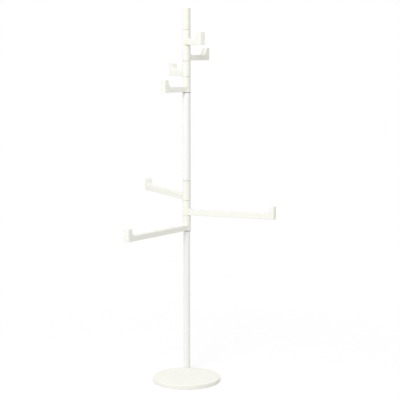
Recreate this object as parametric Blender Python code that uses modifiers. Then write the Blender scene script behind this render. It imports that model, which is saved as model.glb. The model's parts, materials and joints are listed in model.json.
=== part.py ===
"""A free-standing coat stand.

A heavy round base carries a pole at its rear edge. Three long arms swivel on the pole halfway up and four
short hooks swivel at its top, each on a sleeve of its own. Units are metres, +Z is up, and the origin is
the centre of the base's underside. The front of the stand faces -Y, and the pole stands behind the origin.
"""

import math

import bmesh
import bpy

# Clearances
FIT = 0.0003
SEAM = 0.0015
WEIGHT_GAP = 0.001
HUB_GAP = 0.0005
LIP_CLEARANCE = 0.0129

# Base cover, weight and pad
BASE_RADIUS = 0.158
BASE_HEIGHT = 0.021
BASE_EDGE_RADIUS = 0.003
CROWN_WIDTH = 0.042
CROWN_DROP = 0.002
COVER_WALL = 0.0025
COVER_FLOOR_GAP = 0.0008
PAD_THICKNESS = 0.002
PAD_INSET = 0.002
WEIGHT_THICKNESS = 0.008
LUG_MARGIN = 0.0005
LUG_DROP = 0.0004
LUG_CHAMFER = 0.0005

# Screws that hold the cover on the weight
SCREW_COUNT = 4
SCREW_CIRCLE_RADIUS = 0.100
SCREW_RADIUS = 0.00175
SCREW_HEAD_RADIUS = 0.0035
SCREW_HEAD_HEIGHT = 0.0022
POST_WALL = 0.0025
POST_END_WALL = 0.0012

# Bolt that holds the pole on the weight
BOLT_RADIUS = 0.005
BOLT_HEAD_RADIUS = 0.008
BOLT_HEAD_HEIGHT = 0.005
BOLT_SOCKET_RADIUS = 0.0035
BOLT_SOCKET_DEPTH = 0.003
BOLT_RECESS = 0.0004
BOLT_WASHER_RADIUS = 0.0085
BOLT_WASHER_THICKNESS = 0.0015
FOOT_PLUG_LENGTH = 0.040
BOLT_TIP_GAP = 0.006

# Pole
POLE_OVERHANG = 0.002
LOWER_TUBE_DIAMETER = 0.032
LOWER_TUBE_LENGTH = 0.6639
UPPER_TUBE_LENGTH = 0.4111
TUBE_WALL = 0.0012
SLEEVE_STEP = 0.003
SOCKET_WALL = 0.0017
SOCKET_DEPTH = 0.060
SOCKET_FLOOR = 0.004
SOCKET_HOLE_RADIUS = 0.005
FLANGE_THICKNESS = 0.002
FLANGE_SETBACK = 0.0008
SPINDLE_WALL = 0.002
CAP_HEIGHT = 0.0975
CAP_SOCKET_DEPTH = 0.060
CAP_EDGE = 0.0015

# Arms and hooks
SLEEVE_HEIGHT = 0.0714
HIGH_SLEEVE_HEIGHT = 0.0907
SLEEVE_CHAMFER = 0.001
ARM_REACH = 0.437
HOOK_REACH = 0.147
ARM_WIDTH = 0.030
ARM_HEIGHT = 0.025
ARM_STEP = 0.0005
LIP_THICKNESS = 0.0245
LIP_LEAN_DEG = 8.0
LIP_FILLET = 0.018
LIP_TOP_SOFTNESS = 0.004
HEEL_SOFTNESS = 0.002
TIP_RADIUS = 0.009
EDGE_RADIUS = 0.002
ROOT_FILLET = 0.012
ROOT_SINK = 0.0004
ROOT_DEPTH = 0.004
ROOT_MARGIN = 0.003

# Largest share of its wall that a rounding may take
ROUNDING_SHARE = 0.8

# Directions at rest, in degrees round the pole from +X towards +Y
ARM_DIRECTIONS_DEG = {"arm_low": 232.2, "arm_middle": -19.8, "arm_high": 117.8}
HOOK_DIRECTIONS_DEG = {"hook_1": 221.8, "hook_2": 120.0, "hook_3": 47.5, "hook_4": -59.7}

# Facets
BASE_STEPS = 64
ROUND_STEPS = 28
SMALL_STEPS = 20
SCREW_STEPS = 10
ARC_STEPS = 3
EDGE_ARC_STEPS = 2
FILLET_STEPS = 5
CROWN_STEPS = 4
EDGE_RESOLUTION = 1
HEX_SIDES = 6
SMOOTH_ANGLE = math.radians(35)
WELD = 0.000002
OVERSHOOT = 0.005

# The pole's axis lies just outside the rim of the base
POLE_OFFSET = BASE_RADIUS + POLE_OVERHANG

# Radii that follow from the pole's sizes
LOWER_TUBE_RADIUS = LOWER_TUBE_DIAMETER / 2
LOWER_BORE_RADIUS = LOWER_TUBE_RADIUS - TUBE_WALL
SLEEVE_RADIUS = LOWER_TUBE_RADIUS + SLEEVE_STEP
UPPER_BORE_RADIUS = SLEEVE_RADIUS - TUBE_WALL
SPINDLE_BORE_RADIUS = LOWER_BORE_RADIUS - FIT - SOCKET_WALL
SPINDLE_RADIUS = SPINDLE_BORE_RADIUS - FIT
LUG_RADIUS = LOWER_TUBE_RADIUS + LUG_MARGIN
LUG_ROOM_RADIUS = LUG_RADIUS - COVER_WALL
HUB_RADIUS = LUG_ROOM_RADIUS - HUB_GAP
COUNTERBORE_RADIUS = BOLT_WASHER_RADIUS + HUB_GAP
WEIGHT_RADIUS = BASE_RADIUS - COVER_WALL - WEIGHT_GAP - PAD_INSET

# Heights of the base
WEIGHT_BOTTOM = PAD_THICKNESS + FIT
WEIGHT_TOP = WEIGHT_BOTTOM + WEIGHT_THICKNESS
CEILING = BASE_HEIGHT - COVER_WALL
COUNTERBORE_TOP = WEIGHT_BOTTOM + BOLT_RECESS + BOLT_HEAD_HEIGHT + BOLT_WASHER_THICKNESS + 2 * FIT
LUG_TOP = BASE_HEIGHT - LUG_DROP
LUG_CEILING = LUG_TOP - COVER_WALL
HUB_TOP = LUG_CEILING - FIT
POST_HOLE_TOP = BASE_HEIGHT - POST_END_WALL

# Heights of the pole, built up from the base
PITCH = SLEEVE_HEIGHT + SEAM
LOWER_TUBE_BOTTOM = LUG_TOP + FIT
LOWER_TUBE_TOP = LOWER_TUBE_BOTTOM + LOWER_TUBE_LENGTH
FLANGE_SPACE = FIT + FLANGE_THICKNESS + FIT
ARM_LEVEL = LOWER_TUBE_TOP + FLANGE_SPACE
ARM_LEVELS = {"arm_low": ARM_LEVEL, "arm_middle": ARM_LEVEL + PITCH, "arm_high": ARM_LEVEL + 2 * PITCH}
ARMS_TOP = ARM_LEVELS["arm_high"] + HIGH_SLEEVE_HEIGHT
UPPER_TUBE_BOTTOM = ARMS_TOP + SEAM + FLANGE_THICKNESS + FIT
UPPER_TUBE_TOP = UPPER_TUBE_BOTTOM + UPPER_TUBE_LENGTH
HOOK_LEVEL = UPPER_TUBE_TOP + FLANGE_SPACE
HOOK_LEVELS = {name: HOOK_LEVEL + index * PITCH for index, name in enumerate(HOOK_DIRECTIONS_DEG)}
CAP_BOTTOM = HOOK_LEVEL + len(HOOK_LEVELS) * PITCH

# Heights along a sleeve, from its lower end
ARM_RISE = SLEEVE_CHAMFER + ARM_STEP
ARM_TOP = ARM_RISE + ARM_HEIGHT
LIP_TOP = PITCH - LIP_CLEARANCE


def clear_scene():
    for obj in list(bpy.data.objects):
        bpy.data.objects.remove(obj)


def new_collection(name):
    collection = bpy.data.collections.new(name)
    bpy.context.scene.collection.children.link(collection)
    return collection


def new_material(name, colour, roughness, metallic):
    material = bpy.data.materials.new(name)
    material.use_nodes = True
    shader = material.node_tree.nodes["Principled BSDF"]
    shader.inputs["Base Color"].default_value = (*colour, 1.0)
    shader.inputs["Roughness"].default_value = roughness
    shader.inputs["Metallic"].default_value = metallic
    return material


def arc(centre, radius, start_deg, end_deg, steps=ARC_STEPS):
    """Points along an arc, both ends included."""
    angles = [math.radians(start_deg + (end_deg - start_deg) * k / steps) for k in range(steps + 1)]
    return [(centre[0] + radius * math.cos(a), centre[1] + radius * math.sin(a)) for a in angles]


def turned(name, profile, steps=ROUND_STEPS, ring=False):
    """A profile of (radius, height) points turned round Z, down its outer side. A ring's profile is closed."""
    count = len(profile)
    edges = [(k, k + 1) for k in range(count - 1)]
    if ring:
        edges.append((count - 1, 0))
    mesh = bpy.data.meshes.new(name)
    mesh.from_pydata([(radius, 0.0, height) for radius, height in profile], edges, [])
    obj = bpy.data.objects.new(name, mesh)
    screw = obj.modifiers.new("Turn", "SCREW")
    screw.steps = steps
    screw.render_steps = steps
    screw.use_merge_vertices = True
    screw.merge_threshold = WELD
    return obj


def rod(name, radius, bottom, top, steps=ROUND_STEPS):
    return turned(name, [(0.0, top), (radius, top), (radius, bottom), (0.0, bottom)], steps)


def pipe(name, outer, inner, bottom, top, steps=ROUND_STEPS):
    return turned(name, [(outer, top), (outer, bottom), (inner, bottom), (inner, top)], steps, ring=True)


def extruded(name, outline, thickness, rounding=0.0):
    """A flat outline with a thickness. Its edges are rounded outwards by a radius, within the thickness."""
    curve = bpy.data.curves.new(name, "CURVE")
    curve.dimensions = "2D"
    curve.fill_mode = "BOTH"
    curve.extrude = thickness / 2 - rounding
    curve.bevel_depth = rounding
    curve.bevel_resolution = EDGE_RESOLUTION
    spline = curve.splines.new("POLY")
    spline.points.add(len(outline) - 1)
    for point, (x, y) in zip(spline.points, outline):
        point.co = (x, y, 0.0, 1.0)
    spline.use_cyclic_u = True
    draft = bpy.data.objects.new(name, curve)
    mesh = applied_mesh(draft)
    bpy.data.objects.remove(draft)
    return bpy.data.objects.new(name, mesh)


def weld(mesh):
    """Joins points that lie on each other and turns every face outwards."""
    shape = bmesh.new()
    shape.from_mesh(mesh)
    bmesh.ops.remove_doubles(shape, verts=shape.verts, dist=WELD)
    bmesh.ops.dissolve_degenerate(shape, edges=shape.edges, dist=WELD)
    bmesh.ops.recalc_face_normals(shape, faces=shape.faces)
    shape.to_mesh(mesh)
    shape.free()


def applied_mesh(obj, tool=None):
    """The object's mesh with its modifiers applied. A tool that they use is in the scene meanwhile."""
    workbench = bpy.context.scene.collection.objects
    used = [obj, tool] if tool else [obj]
    for item in used:
        workbench.link(item)
    graph = bpy.context.evaluated_depsgraph_get()
    mesh = bpy.data.meshes.new_from_object(obj.evaluated_get(graph))
    for item in used:
        workbench.unlink(item)
    weld(mesh)
    return mesh


def boolean(obj, operation, tool):
    """Cuts, joins or limits an object by a tool, which is used up."""
    modifier = obj.modifiers.new(tool.name, "BOOLEAN")
    modifier.operation = operation
    modifier.object = tool
    mesh = applied_mesh(obj, tool)
    obj.modifiers.clear()
    obj.data = mesh
    bpy.data.objects.remove(tool)


def repeated(name, source, places):
    """One object that holds a copy of the source at each place."""
    single = applied_mesh(source)
    bpy.data.objects.remove(source)
    shape = bmesh.new()
    for place in places:
        before = len(shape.verts)
        shape.from_mesh(single)
        shape.verts.ensure_lookup_table()
        bmesh.ops.translate(shape, verts=shape.verts[before:], vec=place)
    mesh = bpy.data.meshes.new(name)
    shape.to_mesh(mesh)
    shape.free()
    return bpy.data.objects.new(name, mesh)


def screw_places():
    """Centres of the cover's screws, on a circle round the middle of the base."""
    turns = [math.tau * (k + 0.5) / SCREW_COUNT for k in range(SCREW_COUNT)]
    return [(SCREW_CIRCLE_RADIUS * math.cos(t), SCREW_CIRCLE_RADIUS * math.sin(t), 0.0) for t in turns]


def at_pole(obj):
    """Puts a piece of the base on the pole's axis."""
    obj.location = (0.0, POLE_OFFSET, 0.0)
    return obj


def crown_profile():
    """Outer profile of the cover from its centre to its lower edge: flat, then curved to a rounded rim."""
    flat = BASE_RADIUS - CROWN_WIDTH
    rim = BASE_RADIUS - BASE_EDGE_RADIUS
    shoulder = BASE_HEIGHT - CROWN_DROP
    profile = [(0.0, BASE_HEIGHT)]
    for k in range(CROWN_STEPS):
        share = k / CROWN_STEPS
        profile.append((flat + (rim - flat) * share, BASE_HEIGHT - CROWN_DROP * share**2))
    profile += arc((rim, shoulder - BASE_EDGE_RADIUS), BASE_EDGE_RADIUS, 90, 0)
    profile += [(BASE_RADIUS, COVER_FLOOR_GAP), (0.0, COVER_FLOOR_GAP)]
    return profile


def base_cover():
    """A moulded shell, open below, with a round lug at the rear rim that the pole stands on."""
    cover = turned("base_cover", crown_profile(), BASE_STEPS)
    lug_edge = LUG_RADIUS - LUG_CHAMFER
    lug = turned("lug", [(0.0, LUG_TOP), (lug_edge, LUG_TOP), (LUG_RADIUS, LUG_TOP - LUG_CHAMFER),
                         (LUG_RADIUS, COVER_FLOOR_GAP + FIT), (0.0, COVER_FLOOR_GAP + FIT)])
    boolean(cover, "UNION", at_pole(lug))
    inside = BASE_RADIUS - COVER_WALL
    hollow = turned("cover_hollow", [(0.0, CEILING), (BASE_RADIUS - CROWN_WIDTH, CEILING),
                                     (inside, CEILING - CROWN_DROP), (inside, -OVERSHOOT), (0.0, -OVERSHOOT)],
                    BASE_STEPS)
    boolean(cover, "DIFFERENCE", hollow)
    hole = BOLT_RADIUS + FIT
    above = LUG_TOP + OVERSHOOT
    lug_bore = turned("lug_bore", [(0.0, above), (hole, above), (hole, LUG_CEILING),
                                   (LUG_ROOM_RADIUS, LUG_CEILING), (LUG_ROOM_RADIUS, -OVERSHOOT),
                                   (0.0, -OVERSHOOT)])
    boolean(cover, "DIFFERENCE", at_pole(lug_bore))
    post_radius = SCREW_RADIUS + FIT + POST_WALL
    post = rod("post", post_radius, WEIGHT_TOP + FIT, CEILING + COVER_WALL / 2, SCREW_STEPS)
    boolean(cover, "UNION", repeated("posts", post, screw_places()))
    pilot = rod("pilot", SCREW_RADIUS + FIT, 0.0, POST_HOLE_TOP, SCREW_STEPS)
    boolean(cover, "DIFFERENCE", repeated("pilots", pilot, screw_places()))
    return cover


def base_weight():
    """A steel plate with a hub at the rear for the pole's bolt."""
    weight = rod("base_weight", WEIGHT_RADIUS, WEIGHT_BOTTOM, WEIGHT_TOP, BASE_STEPS)
    hub = rod("hub", HUB_RADIUS, WEIGHT_BOTTOM + FIT, HUB_TOP)
    boolean(weight, "UNION", at_pole(hub))
    bore = BOLT_RADIUS + FIT
    counterbore = turned("counterbore", [(0.0, HUB_TOP + OVERSHOOT), (bore, HUB_TOP + OVERSHOOT),
                                         (bore, COUNTERBORE_TOP), (COUNTERBORE_RADIUS, COUNTERBORE_TOP),
                                         (COUNTERBORE_RADIUS, -OVERSHOOT), (0.0, -OVERSHOOT)], SMALL_STEPS)
    boolean(weight, "DIFFERENCE", at_pole(counterbore))
    head_room = WEIGHT_BOTTOM + SCREW_HEAD_HEIGHT + 2 * FIT
    wide = SCREW_HEAD_RADIUS + HUB_GAP
    narrow = SCREW_RADIUS + FIT
    hole = turned("screw_hole", [(0.0, WEIGHT_TOP + OVERSHOOT), (narrow, WEIGHT_TOP + OVERSHOOT),
                                 (narrow, head_room), (wide, head_room), (wide, -OVERSHOOT),
                                 (0.0, -OVERSHOOT)], SCREW_STEPS)
    boolean(weight, "DIFFERENCE", repeated("screw_holes", hole, screw_places()))
    return weight


def floor_pad():
    """A foam sheet under the weight, cut away below the pole's bolt."""
    pad = rod("floor_pad", WEIGHT_RADIUS - PAD_INSET, 0.0, PAD_THICKNESS, BASE_STEPS)
    access = rod("bolt_access", HUB_RADIUS, -OVERSHOOT, PAD_THICKNESS + OVERSHOOT)
    boolean(pad, "DIFFERENCE", at_pole(access))
    return pad


def cover_screw(name, place):
    """A pan-headed screw that comes up through the weight into a post of the cover."""
    tip = POST_HOLE_TOP - FIT
    head = WEIGHT_BOTTOM + FIT
    seat = head + SCREW_HEAD_HEIGHT
    screw = turned(name, [(0.0, tip), (SCREW_RADIUS, tip), (SCREW_RADIUS, seat), (SCREW_HEAD_RADIUS, seat),
                          (SCREW_HEAD_RADIUS, head), (0.0, head)], SCREW_STEPS)
    screw.location = place
    return screw


def mast_bolt():
    """A cap-headed bolt, head down, from the hub into the plug in the foot of the pole."""
    head_bottom = WEIGHT_BOTTOM + BOLT_RECESS
    head_top = head_bottom + BOLT_HEAD_HEIGHT
    tip = LOWER_TUBE_BOTTOM + FOOT_PLUG_LENGTH - BOLT_TIP_GAP
    bolt = turned("mast_bolt", [(0.0, tip), (BOLT_RADIUS, tip), (BOLT_RADIUS, head_top),
                                (BOLT_HEAD_RADIUS, head_top), (BOLT_HEAD_RADIUS, head_bottom),
                                (0.0, head_bottom)], SMALL_STEPS)
    key = rod("bolt_key", BOLT_SOCKET_RADIUS, -OVERSHOOT, head_bottom + BOLT_SOCKET_DEPTH, HEX_SIDES)
    boolean(bolt, "DIFFERENCE", key)
    return bolt


def mast_washer():
    top = COUNTERBORE_TOP - FIT
    bottom = top - BOLT_WASHER_THICKNESS
    return pipe("mast_washer", BOLT_WASHER_RADIUS, BOLT_RADIUS + FIT, bottom, top, SMALL_STEPS)


def socket(name, bore_radius, flange_height, facing):
    """A flanged plug in the end of a tube. Its bore, open at the flange, takes the end of a spindle."""
    body = bore_radius - FIT
    floor = SOCKET_FLOOR - SOCKET_DEPTH
    flange = SLEEVE_RADIUS - FLANGE_SETBACK
    plug = turned(name, [(flange, FLANGE_THICKNESS), (flange, 0.0),
                         (body, 0.0), (body, -SOCKET_DEPTH), (SOCKET_HOLE_RADIUS, -SOCKET_DEPTH),
                         (SOCKET_HOLE_RADIUS, floor), (SPINDLE_BORE_RADIUS, floor),
                         (SPINDLE_BORE_RADIUS, FLANGE_THICKNESS)], SMALL_STEPS, ring=True)
    plug.location.z = flange_height
    plug.rotation_euler.x = 0.0 if facing == "up" else math.pi
    return plug


def slip_washer(name, sleeve_top):
    """A thin washer that fills the seam above a sleeve."""
    outer = SLEEVE_RADIUS - 2 * FLANGE_SETBACK
    return pipe(name, outer, SPINDLE_BORE_RADIUS, sleeve_top + FIT, sleeve_top + SEAM - FIT, SMALL_STEPS)


def top_cap():
    """The plain round cap that sits on the upper spindle and holds the hooks down."""
    top = CAP_BOTTOM + CAP_HEIGHT
    ceiling = CAP_BOTTOM + CAP_SOCKET_DEPTH
    profile = [(0.0, top)]
    profile += arc((SLEEVE_RADIUS - CAP_EDGE, top - CAP_EDGE), CAP_EDGE, 90, 0, EDGE_ARC_STEPS)
    profile += [(SLEEVE_RADIUS, CAP_BOTTOM + SLEEVE_CHAMFER), (SLEEVE_RADIUS - SLEEVE_CHAMFER, CAP_BOTTOM),
                (SPINDLE_BORE_RADIUS, CAP_BOTTOM), (SPINDLE_BORE_RADIUS, ceiling), (0.0, ceiling)]
    return turned("top_cap", profile)


def lip_outline(reach):
    """Side view of an arm, one edge radius inside its true outline: a level bar that turns up into a lip."""
    lean = math.radians(LIP_LEAN_DEG)
    softness = min(LIP_TOP_SOFTNESS, ROUNDING_SHARE * LIP_THICKNESS / 2 - EDGE_RADIUS)
    lip_rise = LIP_TOP - EDGE_RADIUS - softness
    fillet = min(LIP_FILLET, ROUNDING_SHARE * (lip_rise - ARM_TOP))
    heel = (reach - EDGE_RADIUS - HEEL_SOFTNESS, ARM_RISE + EDGE_RADIUS + HEEL_SOFTNESS)
    outer = (reach - EDGE_RADIUS - softness, lip_rise)
    inner = (reach - LIP_THICKNESS + EDGE_RADIUS + softness, lip_rise)
    # The fillet touches the leaning inner face of the lip and the top of the bar.
    face_x = inner[0] - softness * math.cos(lean)
    face_z = inner[1] + softness * math.sin(lean)
    sweep = fillet + EDGE_RADIUS
    fillet_z = ARM_TOP + fillet
    fillet_x = face_x - (sweep - (fillet_z - face_z) * math.sin(lean)) / math.cos(lean)
    outline = [(0.0, ARM_RISE + EDGE_RADIUS)]
    outline += arc(heel, HEEL_SOFTNESS, -90, 0, EDGE_ARC_STEPS)
    outline += arc(outer, softness, 0, 90)
    outline += arc(inner, softness, 90, 180 - LIP_LEAN_DEG)
    outline += arc((fillet_x, fillet_z), sweep, -LIP_LEAN_DEG, -90, FILLET_STEPS)
    outline.append((0.0, ARM_TOP - EDGE_RADIUS))
    return outline


def tip_outline(reach):
    """Plan view of an arm, with its two outer corners rounded."""
    half = ARM_WIDTH / 2
    radius = min(TIP_RADIUS, ROUNDING_SHARE * half)
    outline = [(0.0, -half)]
    outline += arc((reach - radius, -half + radius), radius, -90, 0)
    outline += arc((reach - radius, half - radius), radius, 0, 90)
    outline.append((0.0, half))
    return outline


def root_fillet(name, sleeve_height):
    """The curved web where the top of an arm runs into its sleeve."""
    foot = SLEEVE_RADIUS - ROOT_SINK
    radius = min(ROOT_FILLET, ROUNDING_SHARE * (sleeve_height - SLEEVE_CHAMFER - ARM_TOP))
    low = ARM_TOP - ROOT_DEPTH
    core = SLEEVE_RADIUS - ROOT_DEPTH
    profile = arc((foot + radius, ARM_TOP + radius), radius, 180, 270)
    profile += [(foot + radius, low), (core, low), (core, ARM_TOP + radius)]
    fillet = turned(name + "_fillet", profile, ring=True)
    half = ARM_WIDTH / 2 - ROOT_MARGIN
    end = foot + radius + OVERSHOOT
    outline = [(0.0, -half), (end, -half), (end, half), (0.0, half)]
    sector = extruded(name + "_sector", outline, 2 * sleeve_height)
    boolean(fillet, "INTERSECT", sector)
    return fillet


def swivel_arm(name, reach, sleeve_height):
    """One moulding: a sleeve on the pole, a straight arm and an upturned lip that coats hang behind."""
    edge = SLEEVE_RADIUS - SLEEVE_CHAMFER
    arm = turned(name, [(0.0, sleeve_height), (edge, sleeve_height),
                        (SLEEVE_RADIUS, sleeve_height - SLEEVE_CHAMFER), (SLEEVE_RADIUS, SLEEVE_CHAMFER),
                        (edge, 0.0), (0.0, 0.0)])
    bar = extruded(name + "_bar", lip_outline(reach), ARM_WIDTH, EDGE_RADIUS)
    bar.rotation_euler.x = math.pi / 2
    plan = extruded(name + "_plan", tip_outline(reach), 2 * (LIP_TOP + OVERSHOOT))
    boolean(bar, "INTERSECT", plan)
    fillet = root_fillet(name, sleeve_height)
    bore = rod(name + "_bore", SPINDLE_BORE_RADIUS, -OVERSHOOT, sleeve_height + OVERSHOOT, SMALL_STEPS)
    boolean(arm, "UNION", bar)
    boolean(arm, "UNION", fillet)
    boolean(arm, "DIFFERENCE", bore)
    return arm


def finish(obj, material):
    """Makes a part a plain mesh of one material, smooth except at its edges."""
    mesh = applied_mesh(obj)
    obj.modifiers.clear()
    obj.data = mesh
    mesh.shade_smooth()
    mesh.set_sharp_from_angle(angle=SMOOTH_ANGLE)
    mesh.materials.clear()
    mesh.materials.append(material)


def build():
    clear_scene()
    parts = new_collection("coat_stand")
    white_paint = new_material("white_powder_coat", (0.87, 0.87, 0.855), 0.38, 0.0)
    warm_plastic = new_material("warm_white_plastic", (0.86, 0.86, 0.795), 0.48, 0.0)
    plain_steel = new_material("zinc_plated_steel", (0.62, 0.62, 0.60), 0.40, 1.0)
    cast_weight = new_material("raw_steel_plate", (0.20, 0.20, 0.21), 0.60, 1.0)
    nylon = new_material("natural_nylon", (0.80, 0.79, 0.74), 0.50, 0.0)
    dark_nylon = new_material("dark_grey_nylon", (0.12, 0.12, 0.12), 0.50, 0.0)
    foam = new_material("black_foam", (0.04, 0.04, 0.04), 0.90, 0.0)
    pole = bpy.data.objects.new("pole_axis", None)
    pole.location.y = POLE_OFFSET
    parts.objects.link(pole)

    def add(obj, material, on_pole=True):
        finish(obj, material)
        if on_pole:
            obj.parent = pole
        parts.objects.link(obj)
        return obj

    add(base_cover(), warm_plastic, on_pole=False)
    add(base_weight(), cast_weight, on_pole=False)
    add(floor_pad(), foam, on_pole=False)
    for number, place in enumerate(screw_places(), 1):
        add(cover_screw(f"cover_screw_{number}", place), plain_steel, on_pole=False)
    add(mast_bolt(), plain_steel)
    add(mast_washer(), plain_steel)

    plug_radius = LOWER_BORE_RADIUS - FIT
    plug_top = LOWER_TUBE_BOTTOM + FOOT_PLUG_LENGTH
    add(pipe("foot_plug", plug_radius, BOLT_RADIUS + FIT, LOWER_TUBE_BOTTOM, plug_top, SMALL_STEPS),
        plain_steel)
    add(pipe("lower_tube", LOWER_TUBE_RADIUS, LOWER_BORE_RADIUS, LOWER_TUBE_BOTTOM, LOWER_TUBE_TOP),
        white_paint)
    add(pipe("upper_tube", SLEEVE_RADIUS, UPPER_BORE_RADIUS, UPPER_TUBE_BOTTOM, UPPER_TUBE_TOP),
        white_paint)
    add(socket("lower_tube_socket", LOWER_BORE_RADIUS, LOWER_TUBE_TOP + FIT, "up"), dark_nylon)
    add(socket("upper_tube_foot", UPPER_BORE_RADIUS, UPPER_TUBE_BOTTOM - FIT, "down"), nylon)
    add(socket("upper_tube_head", UPPER_BORE_RADIUS, UPPER_TUBE_TOP + FIT, "up"), dark_nylon)

    # A spindle reaches from the floor of one socket to the floor of the next.
    inside = SOCKET_DEPTH - SOCKET_FLOOR - 2 * FIT
    inner = SPINDLE_RADIUS - SPINDLE_WALL
    add(pipe("lower_spindle", SPINDLE_RADIUS, inner, LOWER_TUBE_TOP - inside, UPPER_TUBE_BOTTOM + inside,
             SMALL_STEPS), plain_steel)
    cap_socket_end = CAP_BOTTOM + CAP_SOCKET_DEPTH - FIT
    add(pipe("upper_spindle", SPINDLE_RADIUS, inner, UPPER_TUBE_TOP - inside, cap_socket_end, SMALL_STEPS),
        plain_steel)
    arm_ends = [ARM_LEVELS["arm_low"] + SLEEVE_HEIGHT, ARM_LEVELS["arm_middle"] + SLEEVE_HEIGHT, ARMS_TOP]
    for number, sleeve_top in enumerate(arm_ends, 1):
        add(slip_washer(f"arm_washer_{number}", sleeve_top), nylon)
    for number, level in enumerate(HOOK_LEVELS.values(), 1):
        add(slip_washer(f"hook_washer_{number}", level + SLEEVE_HEIGHT), nylon)
    add(top_cap(), warm_plastic)

    for name, degrees in ARM_DIRECTIONS_DEG.items():
        height = HIGH_SLEEVE_HEIGHT if name == "arm_high" else SLEEVE_HEIGHT
        arm = add(swivel_arm(name, ARM_REACH, height), warm_plastic)
        arm.location.z = ARM_LEVELS[name]
        arm.rotation_euler.z = math.radians(degrees)
    for name, degrees in HOOK_DIRECTIONS_DEG.items():
        hook = add(swivel_arm(name, HOOK_REACH, SLEEVE_HEIGHT), warm_plastic)
        hook.location.z = HOOK_LEVELS[name]
        hook.rotation_euler.z = math.radians(degrees)


build()
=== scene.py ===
"""The looks of a coat stand: mouldings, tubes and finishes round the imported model, in soft studio light.

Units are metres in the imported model's frame: +Z is up, the front faces -Y and the origin is the centre of
the base's underside.
"""

import itertools
import json
import math

import bmesh
import bpy
import numpy as np
from mathutils import Matrix, Vector


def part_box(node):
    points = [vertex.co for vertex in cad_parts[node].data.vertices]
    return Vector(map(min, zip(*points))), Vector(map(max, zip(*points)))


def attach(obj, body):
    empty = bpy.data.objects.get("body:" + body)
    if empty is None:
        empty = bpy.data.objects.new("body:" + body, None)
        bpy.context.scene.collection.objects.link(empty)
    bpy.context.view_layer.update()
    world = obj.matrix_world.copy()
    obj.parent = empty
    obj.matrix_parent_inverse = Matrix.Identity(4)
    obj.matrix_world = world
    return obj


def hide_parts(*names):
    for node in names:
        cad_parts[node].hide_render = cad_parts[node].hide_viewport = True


# Camera of the photo, in a square picture
CAMERA_PLACE = (0.0631, -5.480, 1.595)
CAMERA_TILT_DEG = 82.3
FOCAL_LENGTH_PIXELS = 1201.8
PICTURE_PIXELS = 400
SENSOR_WIDTH_MM = 36.0

# Light: the sky is brightest above and behind, as with a white backdrop, and dimmest low in front
WHITE = 1.0
SKY_RISE_DEG = 60.0
SKY_DIMMEST = 0.23
SKY_BRIGHTEST = 0.93
KEY_TARGET = (0.0, 0.1, 1.0)
KEY_AZIMUTH_DEG = -25.0
KEY_ELEVATION_DEG = 38.0
KEY_DISTANCE = 7.0
KEY_SIZE = 3.0
KEY_POWER = 255.0
FLOOR_SIZE = 60.0
FLOOR_BOUNCE = 0.80
FLOOR_SHADE = 0.22
FLOOR_GLOW = 0.77
SHADOW_FADE_START = 0.5
SHADOW_FADE_END = 2.0

# Base cover
BASE_RADIUS = 0.158
BASE_HEIGHT = 0.021
BASE_EDGE = 0.003
CROWN_WIDTH = 0.042
CROWN_START = BASE_RADIUS - CROWN_WIDTH
CROWN_DROP = 0.002
COVER_WALL = 0.0025
COVER_FLOOR_GAP = 0.0008
LUG_RADIUS = 0.0165
LUG_ROOM_RADIUS = LUG_RADIUS - COVER_WALL
LUG_TOP = 0.0206
LUG_CEILING = LUG_TOP - COVER_WALL
LUG_EDGE = 0.0018
LUG_FILLET = 0.002
BOLT_HOLE_RADIUS = 0.0053

# Pole and cap, with the bore that the cap and the sleeves have for a spindle
LOWER_TUBE_RADIUS = 0.016
SLEEVE_RADIUS = 0.019
TUBE_WALL = 0.0012
TUBE_EDGE = 0.0005
TUBE_FOOT_EDGE = 0.001
BORE_RADIUS = 0.0128
BORE_EDGE = 0.0004
CAP_BORE_DEPTH = 0.060
CAP_EDGE = 0.0015
CAP_FOOT_EDGE = 0.0005
ROUND_STEPS = 96
EDGE_STEPS = 5
TUBE_RING_SPACING = 0.06

# Arms and hooks, with heights from the lower end of their sleeves
DIRECTIONS_DEG = {
    "arm_low": 232.2, "arm_middle": -19.8, "arm_high": 117.8,
    "hook_1": 221.8, "hook_2": 120.0, "hook_3": 47.5, "hook_4": -59.7,
}
REACHES = {"arm": 0.437, "hook": 0.147}
SLEEVE_EDGE = 0.0006
ARM_BOTTOM = 0.0015
ARM_TOP = 0.0265
ARM_WIDTH = 0.030
ARM_EDGE = 0.0024
LIP_TOP = 0.060
LIP_THICKNESS = 0.0245
LIP_LEAN_DEG = 8.0
LIP_FILLET = 0.018
LIP_EDGE = 0.005
TIP_RADIUS = 0.009
ROOT_FILLET_LOW = 0.001
ROOT_FILLET_HIGH = 0.012
ROOT_FADE = (0.005, 0.014)

# Grids that the mouldings are meshed on, and how the mesh is settled on their surfaces
SEAM_GRID = 0.0007
COVER_GRID = 0.0009
FINE_GRID = 0.001
MIDDLE_GRID = 0.002
CROWN_GRID = 0.004
COARSE_GRID = 0.012
TURN_GRID_DEG = 3.0
LUG_TURN_GRID_DEG = 0.45
LUG_HALF_TURN_DEG = 8.0
EDGE_ZONE = 0.005
MARGIN = 0.001
SETTLE_STEPS = 4
GRADIENT_STEP = 0.00002
LEAST_SLOPE = 0.1
WELD_DISTANCE = 0.00002
SHARP_ANGLE_DEG = 40.0

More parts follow.
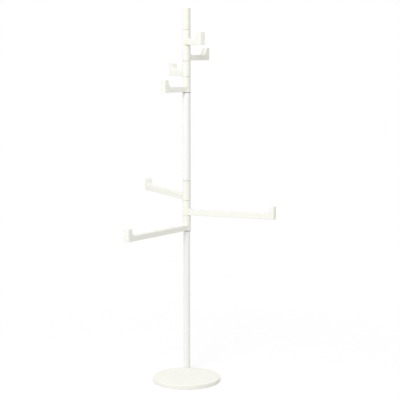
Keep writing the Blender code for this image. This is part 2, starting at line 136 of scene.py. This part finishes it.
# Finishes of the record's material slots. The colour varies by the tone's share to each side, roughness has
# a range, and the grain has a fineness, a depth and, on drawn metal, a stretch.
FINISHES = {
    "white_powder_coat": {
        "colour": (0.87, 0.87, 0.855), "tone": 0.008, "roughness": (0.34, 0.44),
        "grain": 700.0, "relief": 0.00002,
    },
    "warm_white_plastic": {
        "colour": (0.86, 0.86, 0.795), "tone": 0.012, "roughness": (0.58, 0.70),
        "grain": 2400.0, "relief": 0.000006,
    },
    "zinc_plated_steel": {
        "colour": (0.62, 0.62, 0.60), "tone": 0.10, "roughness": (0.30, 0.48),
        "grain": 900.0, "relief": 0.00002,
        "metallic": 1.0, "stretch": (1.0, 1.0, 0.1),
    },
    "raw_steel_plate": {
        "colour": (0.20, 0.20, 0.21), "tone": 0.25, "roughness": (0.45, 0.70),
        "grain": 500.0, "relief": 0.00005,
        "metallic": 1.0,
    },
    "natural_nylon": {
        "colour": (0.80, 0.79, 0.74), "tone": 0.02, "roughness": (0.45, 0.58),
        "grain": 1800.0, "relief": 0.00002,
    },
    # The flanges are real parts, but their near-black colour is painted shade: it darkens the seams between the
    # tubes and the sleeves.
    "dark_grey_nylon": {
        "colour": (0.12, 0.12, 0.12), "tone": 0.06, "roughness": (0.45, 0.58),
        "grain": 1800.0, "relief": 0.00002,
    },
    "black_foam": {
        "colour": (0.04, 0.04, 0.04), "tone": 0.20, "roughness": (0.85, 0.95),
        "grain": 900.0, "relief": 0.0003,
    },
}
TONE_SCALE = 22.0
TONE_DETAIL = 3.0
GRAIN_DETAIL = 2.0

# Slices of a grid's axis: all lines but the last, and all lines but the first
FIRST = slice(None, -1)
LAST = slice(1, None)


# Distance fields and their meshes


def round_or(a, b, radius):
    """Union of two distance fields with a fillet in the corner between them."""
    corner = np.hypot(np.maximum(radius - a, 0), np.maximum(radius - b, 0))
    return np.maximum(radius, np.minimum(a, b)) - corner


def round_and(a, b, radius):
    """Overlap of two distance fields with the edge between them rounded."""
    edge = np.hypot(np.maximum(radius + a, 0), np.maximum(radius + b, 0))
    return np.minimum(-radius, np.maximum(a, b)) + edge


def lines(*stretches):
    """Grid lines along one axis, from (start, end, spacing) stretches that follow each other."""
    parts = []
    for start, end, spacing in stretches:
        count = max(1, round((end - start) / spacing))
        parts.append(np.linspace(start, end, count, endpoint=False))
    parts.append([stretches[-1][1]])
    return np.concatenate(parts)


def along(axis, part):
    """An index that takes a slice of one axis of a grid."""
    index = [slice(None)] * 3
    index[axis] = part
    return tuple(index)


def across(axis, parts):
    """An index that takes slices of the other two axes of a grid."""
    index = [slice(None)] * 3
    index[(axis + 1) % 3], index[(axis + 2) % 3] = parts
    return tuple(index)


def gradient(field, points):
    """Slope of a distance field at each of (3, n) points."""
    slopes = []
    for axis in range(3):
        step = np.zeros((3, 1))
        step[axis] = GRADIENT_STEP
        slopes.append((field(*(points + step)) - field(*(points - step))) / (2 * GRADIENT_STEP))
    return np.stack(slopes)


def cell_points(values, grid):
    """Numbers of the crossed grid cells, and in each a point at the mean of its crossings."""
    cells = tuple(count - 1 for count in values.shape)
    places = np.zeros((3, *cells))
    hits = np.zeros(cells)
    for axis in range(3):
        low = along(axis, FIRST)
        high = along(axis, LAST)
        crossed = (values[low] < 0) != (values[high] < 0)
        share = np.where(crossed, values[low] / np.where(crossed, values[low] - values[high], 1), 0)
        crossing = (grid[(slice(None), *low)] * (1 - share) + grid[(slice(None), *high)] * share) * crossed
        for parts in itertools.product((FIRST, LAST), repeat=2):
            beside = across(axis, parts)
            places += crossing[(slice(None), *beside)]
            hits += crossed[beside]
    used = hits > 0
    numbers = np.full(cells, -1)
    numbers[used] = np.arange(used.sum())
    return numbers, places[:, used] / hits[used]


def cell_quads(values, numbers):
    """A quad for each grid edge that the surface crosses, between the points of the four cells round it."""
    inside = values < 0
    quads = []
    for axis in range(3):
        inner = across(axis, (slice(1, -1), slice(1, -1)))
        start = inside[along(axis, FIRST)][inner]
        end = inside[along(axis, LAST)][inner]
        found = start != end
        ring = [numbers[across(axis, parts)][found] for parts in
                ((FIRST, FIRST), (LAST, FIRST), (LAST, LAST), (FIRST, LAST))]
        ring = np.stack(ring, 1)
        quads.append(np.where(start[found][:, None], ring, ring[:, ::-1]))
    return np.concatenate(quads)


def skin(name, field, axes, placed=np.stack):
    """Closed mesh of the surface where a distance field is zero, with its normals.

    The points of the crossed grid cells are moved onto the surface. A function may bend the grid, such as
    into a ring.
    """
    grid = placed(np.meshgrid(*axes, indexing="ij"))
    values = field(*grid)
    numbers, points = cell_points(values, grid)
    for _ in range(SETTLE_STEPS):
        slope = gradient(field, points)
        points = points - slope * field(*points) / np.maximum((slope ** 2).sum(0), LEAST_SLOPE)
    normals = gradient(field, points)
    normals /= np.linalg.norm(normals, axis=0)
    mesh = bpy.data.meshes.new(name)
    mesh.from_pydata(points.T.tolist(), [], cell_quads(values, numbers).tolist())
    return mesh, normals.T


def close(mesh):
    """Joins points that lie on each other and fills the holes left at the middle of a ring grid."""
    shape = bmesh.new()
    shape.from_mesh(mesh)
    bmesh.ops.remove_doubles(shape, verts=shape.verts, dist=WELD_DISTANCE)
    bmesh.ops.holes_fill(shape, edges=[edge for edge in shape.edges if edge.is_boundary], sides=0)
    shape.to_mesh(mesh)
    shape.free()


# Pieces of the stand


def add_piece(mesh, body, node, slot, place=Matrix()):
    """Shows a mesh in place of a CAD node, on the body that carries it, with the finish of a record slot."""
    obj = bpy.data.objects.new(node + "_skin", mesh)
    bpy.context.scene.collection.objects.link(obj)
    mesh.transform(place)
    mesh.shade_smooth()
    mesh.set_sharp_from_angle(angle=math.radians(SHARP_ANGLE_DEG))
    mesh.materials.append(finishes[slot])
    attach(obj, body)
    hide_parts(node)
    return obj


def even(obj):
    """Lets the large faces of a piece set the shading beside its rounded edges."""
    obj.modifiers.new("Even", "WEIGHTED_NORMAL").keep_sharp = True


def softened(corners):
    """A closed profile from (radius, height, rounding) corners, each rounded corner turned into an arc."""
    profile = []
    count = len(corners)
    for k, (x, z, rounding) in enumerate(corners):
        here = Vector((x, z))
        if not rounding:
            profile.append(here)
            continue
        before = (Vector(corners[k - 1][:2]) - here).normalized()
        after = (Vector(corners[(k + 1) % count][:2]) - here).normalized()
        half = before.angle(after) / 2
        centre = here + (before + after).normalized() * rounding / math.sin(half)
        start = here + before * rounding / math.tan(half) - centre
        end = here + after * rounding / math.tan(half) - centre
        for step in range(EDGE_STEPS + 1):
            profile.append(centre + start.slerp(end, step / EDGE_STEPS).normalized() * rounding)
    return profile


def turned(name, profile):
    """A closed profile of (radius, height) points turned round Z, with one point where it meets the axis."""
    shape = bmesh.new()
    turns = [math.tau * k / ROUND_STEPS for k in range(ROUND_STEPS)]
    rings = []
    for radius, height in profile:
        if radius == 0:
            rings.append([shape.verts.new((0.0, 0.0, height))] * ROUND_STEPS)
        else:
            circle = [(radius * math.cos(turn), radius * math.sin(turn), height) for turn in turns]
            rings.append([shape.verts.new(place) for place in circle])
    for ring, following in zip(rings, rings[1:] + rings[:1]):
        for k in range(ROUND_STEPS):
            nearby = (k + 1) % ROUND_STEPS
            corners = dict.fromkeys((ring[k], following[k], following[nearby], ring[nearby]))
            if len(corners) > 2:
                shape.faces.new(corners)
    bmesh.ops.recalc_face_normals(shape, faces=shape.faces)
    mesh = bpy.data.meshes.new(name)
    shape.to_mesh(mesh)
    shape.free()
    return mesh


def tube(node, radius, bottom, top, foot_edge):
    """A tube with round outer edges, and rings of points along it that keep its faces short."""
    inner = radius - TUBE_WALL
    corners = [(inner, bottom, 0), (radius, bottom, foot_edge)]
    corners += [(radius, height, 0) for height in lines((bottom, top, TUBE_RING_SPACING))[1:-1]]
    corners += [(radius, top, TUBE_EDGE), (inner, top, 0)]
    return turned(node, softened(corners))


def cap(bottom, top):
    """The pole's cap, round at its top edge, with the socket that the spindle goes into."""
    ceiling = bottom + CAP_BORE_DEPTH
    corners = [
        (BORE_RADIUS, bottom, BORE_EDGE), (SLEEVE_RADIUS, bottom, CAP_FOOT_EDGE),
        (SLEEVE_RADIUS, top, CAP_EDGE), (0.0, top, 0),
        (0.0, ceiling, 0), (BORE_RADIUS, ceiling, 0),
    ]
    return turned("top_cap", softened(corners))


def cover_field(pole_y):
    """Distance field of the base cover: a crowned shell with a lug at its rear rim for the pole."""

    def crown(radius):
        share = np.clip((radius - CROWN_START) / (CROWN_WIDTH - BASE_EDGE), 0, None)
        return BASE_HEIGHT - CROWN_DROP * share ** 2

    def field(x, y, z):
        radius = np.hypot(x, y)
        from_pole = np.hypot(x, y - pole_y)
        top = z - crown(radius)
        disc = round_and(top, radius - BASE_RADIUS, BASE_EDGE)
        lug = round_and(z - LUG_TOP, from_pole - LUG_RADIUS, LUG_EDGE)
        solid = round_or(disc, lug, LUG_FILLET)
        room = np.maximum(top + COVER_WALL, radius - BASE_RADIUS + COVER_WALL)
        lug_room = np.maximum(z - LUG_CEILING, from_pole - LUG_ROOM_RADIUS)
        hollow = np.minimum(np.minimum(room, lug_room), from_pole - BOLT_HOLE_RADIUS)
        shell = np.maximum(solid, -hollow)
        return np.maximum(shell, COVER_FLOOR_GAP - z)

    return field


def base_cover(pole_y):
    """The base cover, meshed on a ring grid that is finer round the lug."""
    rear = math.pi / 2
    half_turn = math.radians(LUG_HALF_TURN_DEG)
    turn = lines((rear - half_turn, rear + half_turn, math.radians(LUG_TURN_GRID_DEG)),
                 (rear + half_turn, rear - half_turn + math.tau, math.radians(TURN_GRID_DEG)))
    # The second line comes again at the end, so that the ring of cells closes.
    turn = np.append(turn, turn[1] + math.tau)
    lug_start = pole_y - LUG_RADIUS
    lug_end = pole_y + LUG_RADIUS + LUG_FILLET
    radius = lines((0.0, CROWN_START, COARSE_GRID), (CROWN_START, lug_start, CROWN_GRID),
                   (lug_start, lug_end, FINE_GRID))
    height = lines((-MARGIN, LUG_TOP + MARGIN, COVER_GRID))

    def in_a_ring(grid):
        return np.stack([grid[0] * np.cos(grid[1]), grid[0] * np.sin(grid[1]), grid[2]])

    mesh, _ = skin("base_cover", cover_field(pole_y), (radius, turn, height), in_a_ring)
    close(mesh)
    return mesh


def arm_field(reach, sleeve_height):
    """Distance field of one moulding: a sleeve, a straight arm and an upturned lip, run together."""
    lean = math.radians(LIP_LEAN_DEG)
    straight = reach - TIP_RADIUS

    def field(x, y, z):
        # The bar from above, with round corners at its tip
        past = np.maximum(x - straight, 0)
        beside = np.maximum(np.abs(y) - (ARM_WIDTH / 2 - TIP_RADIUS), 0)
        plan = np.where(x > straight, np.hypot(past, beside) - TIP_RADIUS, np.abs(y) - ARM_WIDTH / 2)
        plan = np.maximum(plan, x - reach)
        # The bar from the side, where its top runs up into the leaning lip
        inner = (reach - LIP_THICKNESS - x) * math.cos(lean) - (LIP_TOP - z) * math.sin(lean)
        lip = round_and(inner, z - LIP_TOP, LIP_EDGE)
        upper = round_or(z - ARM_TOP, lip, LIP_FILLET)
        arm = round_and(round_and(upper, plan, ARM_EDGE), ARM_BOTTOM - z, ARM_EDGE)
        arm = np.maximum(arm, -x)
        # The sleeve, and the fillet at the bar's root, which widens towards the bar's top
        radius = np.hypot(x, y)
        ends = np.abs(z - sleeve_height / 2) - sleeve_height / 2
        sleeve = round_and(radius - SLEEVE_RADIUS, ends, SLEEVE_EDGE)
        fillet = np.interp(z, (ARM_BOTTOM, ARM_TOP), (ROOT_FILLET_LOW, ROOT_FILLET_HIGH))
        fillet = fillet * np.interp(x, ROOT_FADE, (0.0, 1.0))
        moulding = round_or(sleeve, arm, fillet)
        return round_and(moulding, BORE_RADIUS - radius, BORE_EDGE)

    return field


def swivel_arm(name, reach, sleeve_height):
    """One arm or hook along +X, meshed on a grid that is finer at its edges and fillets."""
    side = SLEEVE_RADIUS + MARGIN
    flat = ARM_WIDTH / 2 - EDGE_ZONE
    root_end = side + 2 * ROOT_FILLET_HIGH
    lip_start = reach - LIP_THICKNESS - MARGIN
    fillet_start = lip_start - LIP_FILLET - EDGE_ZONE
    lip_edge = LIP_TOP - 2 * EDGE_ZONE
    x = lines((-side, side, FINE_GRID), (side, root_end, MIDDLE_GRID),
              (root_end, fillet_start, COARSE_GRID), (fillet_start, lip_start, MIDDLE_GRID),
              (lip_start, reach + MARGIN, FINE_GRID))
    y = lines((-side, -flat, FINE_GRID), (-flat, flat, MIDDLE_GRID), (flat, side, FINE_GRID))
    z = lines((-MARGIN, EDGE_ZONE, SEAM_GRID), (EDGE_ZONE, ARM_TOP - EDGE_ZONE, MIDDLE_GRID),
              (ARM_TOP - EDGE_ZONE, ARM_TOP + MARGIN, FINE_GRID), (ARM_TOP + MARGIN, lip_edge, MIDDLE_GRID),
              (lip_edge, LIP_TOP + MARGIN, FINE_GRID),
              (LIP_TOP + MARGIN, sleeve_height - EDGE_ZONE, MIDDLE_GRID),
              (sleeve_height - EDGE_ZONE, sleeve_height + MARGIN, SEAM_GRID))
    return skin(name, arm_field(reach, sleeve_height), (x, y, z))


# Finishes


def noise(nodes, links, place, scale, detail):
    """A value between 0 and 1 that changes from place to place."""
    texture = nodes.new("ShaderNodeTexNoise")
    texture.inputs["Scale"].default_value = scale
    texture.inputs["Detail"].default_value = detail
    links.new(place, texture.inputs["Vector"])
    return texture.outputs["Fac"]


def spread(nodes, links, value, low, high, start=0.0):
    """A value from its start to 1 brought to a range."""
    ranged = nodes.new("ShaderNodeMapRange")
    ranged.inputs["From Min"].default_value = start
    ranged.inputs["To Min"].default_value = low
    ranged.inputs["To Max"].default_value = high
    links.new(value, ranged.inputs["Value"])
    return ranged.outputs["Result"]


def surface(name, colour, tone, roughness, grain, relief, metallic=0.0, stretch=(1.0, 1.0, 1.0)):
    """A finish with slow changes of tone and gloss over its surface and a fine grain."""
    material = bpy.data.materials.new(name)
    material.use_nodes = True
    nodes = material.node_tree.nodes
    links = material.node_tree.links
    shader = nodes["Principled BSDF"]
    shader.inputs["Metallic"].default_value = metallic
    place = nodes.new("ShaderNodeTexCoord").outputs["Object"]
    mapping = nodes.new("ShaderNodeMapping")
    mapping.inputs["Scale"].default_value = stretch
    links.new(place, mapping.inputs["Vector"])
    slow = noise(nodes, links, place, TONE_SCALE, TONE_DETAIL)
    quick = noise(nodes, links, mapping.outputs["Vector"], grain, GRAIN_DETAIL)
    shades = nodes.new("ShaderNodeValToRGB")
    for stop, change in zip(shades.color_ramp.elements, (1 - tone, 1 + tone)):
        stop.color = (*(channel * change for channel in colour), 1.0)
    links.new(slow, shades.inputs["Fac"])
    links.new(shades.outputs["Color"], shader.inputs["Base Color"])
    links.new(spread(nodes, links, slow, *roughness), shader.inputs["Roughness"])
    bump = nodes.new("ShaderNodeBump")
    bump.inputs["Distance"].default_value = relief
    links.new(quick, bump.inputs["Height"])
    links.new(bump.outputs["Normal"], shader.inputs["Normal"])
    return material


def dress(node, material):
    """Gives a CAD node a finish."""
    mesh = frame["nodes"][node].data
    mesh.materials.clear()
    mesh.materials.append(material)


# Floor, light and camera


def grey(level):
    """An opaque grey."""
    return (level, level, level, 1.0)


def diffuse(nodes, level):
    """A matt grey surface."""
    shader = nodes.new("ShaderNodeBsdfDiffuse")
    shader.inputs["Color"].default_value = grey(level)
    return shader.outputs["BSDF"]


def glow(nodes, strength):
    """A surface that gives off white light."""
    shader = nodes.new("ShaderNodeEmission")
    shader.inputs["Strength"].default_value = strength
    return shader.outputs["Emission"]


def mixed(nodes, links, share, first, second):
    """Two shaders mixed by a share of the second."""
    mix = nodes.new("ShaderNodeMixShader")
    links.new(share, mix.inputs["Fac"])
    links.new(first, mix.inputs[1])
    links.new(second, mix.inputs[2])
    return mix.outputs["Shader"]


def shown_rays(nodes, links):
    """1 for rays that show the background: straight from the camera, mirrored or through glass."""
    path = nodes.new("ShaderNodeLightPath")
    either = path.outputs["Is Camera Ray"]
    for name in ("Is Glossy Ray", "Is Transmission Ray"):
        larger = nodes.new("ShaderNodeMath")
        larger.operation = "MAXIMUM"
        links.new(either, larger.inputs[0])
        links.new(path.outputs[name], larger.inputs[1])
        either = larger.outputs["Value"]
    return either


def floor_material():
    """A pale floor that reads white in the picture and keeps the object's shadow."""
    material = bpy.data.materials.new("studio_floor")
    material.use_nodes = True
    nodes = material.node_tree.nodes
    links = material.node_tree.links
    nodes.remove(nodes["Principled BSDF"])
    near = nodes.new("ShaderNodeAddShader")
    links.new(diffuse(nodes, FLOOR_SHADE), near.inputs[0])
    links.new(glow(nodes, FLOOR_GLOW), near.inputs[1])
    distance = nodes.new("ShaderNodeVectorMath")
    distance.operation = "LENGTH"
    links.new(nodes.new("ShaderNodeTexCoord").outputs["Object"], distance.inputs[0])
    fade = nodes.new("ShaderNodeMapRange")
    fade.interpolation_type = "SMOOTHSTEP"
    fade.inputs["From Min"].default_value = SHADOW_FADE_START
    fade.inputs["From Max"].default_value = SHADOW_FADE_END
    links.new(distance.outputs["Value"], fade.inputs["Value"])
    seen = mixed(nodes, links, fade.outputs["Result"], near.outputs["Shader"], glow(nodes, WHITE))
    whole = mixed(nodes, links, shown_rays(nodes, links), diffuse(nodes, FLOOR_BOUNCE), seen)
    links.new(whole, nodes["Material Output"].inputs["Surface"])
    return material


def light_world():
    """White where the background shows, and a smooth sky as light."""
    world = bpy.data.worlds.new("studio")
    world.use_nodes = True
    nodes = world.node_tree.nodes
    links = world.node_tree.links
    sky = nodes["Background"]
    white = nodes.new("ShaderNodeBackground")
    for shader in (sky, white):
        shader.inputs["Color"].default_value = grey(WHITE)
    rise = math.radians(SKY_RISE_DEG)
    facing = nodes.new("ShaderNodeVectorMath")
    facing.operation = "DOT_PRODUCT"
    links.new(nodes.new("ShaderNodeTexCoord").outputs["Generated"], facing.inputs[0])
    facing.inputs[1].default_value = (0.0, math.cos(rise), math.sin(rise))
    level = spread(nodes, links, facing.outputs["Value"], SKY_DIMMEST, SKY_BRIGHTEST, start=-1.0)
    links.new(level, sky.inputs["Strength"])
    shown = shown_rays(nodes, links)
    whole = mixed(nodes, links, shown, sky.outputs["Background"], white.outputs["Background"])
    links.new(whole, nodes["World Output"].inputs["Surface"])
    bpy.context.scene.world = world


def add_key():
    """A large soft lamp that faces the stand. Its azimuth turns from the front to the right."""
    azimuth = math.radians(KEY_AZIMUTH_DEG)
    elevation = math.radians(KEY_ELEVATION_DEG)
    level = math.cos(elevation)
    away = Vector((math.sin(azimuth) * level, -math.cos(azimuth) * level, math.sin(elevation)))
    light = bpy.data.lights.new("key", "AREA")
    light.size = KEY_SIZE
    light.energy = KEY_POWER
    lamp = bpy.data.objects.new("key", light)
    lamp.location = Vector(KEY_TARGET) + away * KEY_DISTANCE
    lamp.rotation_euler = (-away).to_track_quat("-Z", "Y").to_euler()
    bpy.context.scene.collection.objects.link(lamp)


def add_camera():
    """The photo's camera, which looks slightly down."""
    camera = bpy.data.cameras.new("camera")
    camera.sensor_width = SENSOR_WIDTH_MM
    camera.lens = FOCAL_LENGTH_PIXELS * SENSOR_WIDTH_MM / PICTURE_PIXELS
    viewer = bpy.data.objects.new("camera", camera)
    viewer.location = CAMERA_PLACE
    viewer.rotation_euler.x = math.radians(CAMERA_TILT_DEG)
    bpy.context.scene.collection.objects.link(viewer)
    bpy.context.scene.camera = viewer


# The whole scene


def build_stage():
    """The floor, the light and the camera."""
    bpy.ops.mesh.primitive_plane_add(size=FLOOR_SIZE)
    floor = bpy.context.object
    floor.name = "studio_floor"
    floor.data.materials.append(floor_material())
    add_key()
    light_world()
    add_camera()
    bpy.context.scene.view_settings.view_transform = "Standard"


def build_stand():
    """A finish on each CAD node, and finer pieces in place of those that show."""
    for entry in frame["record"]["subparts"]:
        dress(entry["node"], finishes[entry["material_slot"]])
    # Every swivel turns about the pole's axis, so the first one gives its place.
    pole_x, pole_y, _ = frame["joints"][0]["pos_m"]
    on_pole = Matrix.Translation((pole_x, pole_y, 0.0))
    even(add_piece(base_cover(pole_y), "stand", "base_cover", "warm_white_plastic"))
    tubes = (("lower_tube", LOWER_TUBE_RADIUS, TUBE_FOOT_EDGE), ("upper_tube", SLEEVE_RADIUS, TUBE_EDGE))
    for node, radius, foot_edge in tubes:
        low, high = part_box(node)
        mesh = tube(node, radius, low.z, high.z, foot_edge)
        even(add_piece(mesh, "stand", node, "white_powder_coat", on_pole))
    low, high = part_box("top_cap")
    even(add_piece(cap(low.z, high.z), "stand", "top_cap", "warm_white_plastic", on_pole))
    for name, degrees in DIRECTIONS_DEG.items():
        low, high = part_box(name)
        mesh, normals = swivel_arm(name, REACHES[name.split("_")[0]], high.z - low.z)
        place = Matrix.Translation((pole_x, pole_y, low.z)) @ Matrix.Rotation(math.radians(degrees), 4, "Z")
        add_piece(mesh, name, name, "warm_white_plastic", place)
        mesh.normals_split_custom_set_from_vertices([place.to_3x3() @ Vector(normal) for normal in normals])


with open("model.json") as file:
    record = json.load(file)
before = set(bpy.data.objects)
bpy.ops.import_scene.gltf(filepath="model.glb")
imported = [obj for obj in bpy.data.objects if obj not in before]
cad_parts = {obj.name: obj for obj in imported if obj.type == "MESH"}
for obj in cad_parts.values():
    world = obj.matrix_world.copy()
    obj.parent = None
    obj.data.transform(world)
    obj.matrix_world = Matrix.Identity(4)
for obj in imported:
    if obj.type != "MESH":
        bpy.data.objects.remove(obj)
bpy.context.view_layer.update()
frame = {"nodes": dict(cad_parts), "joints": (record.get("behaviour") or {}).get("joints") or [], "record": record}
finishes = {slot: surface(slot + "_finish", **look) for slot, look in FINISHES.items()}
build_stage()
build_stand()
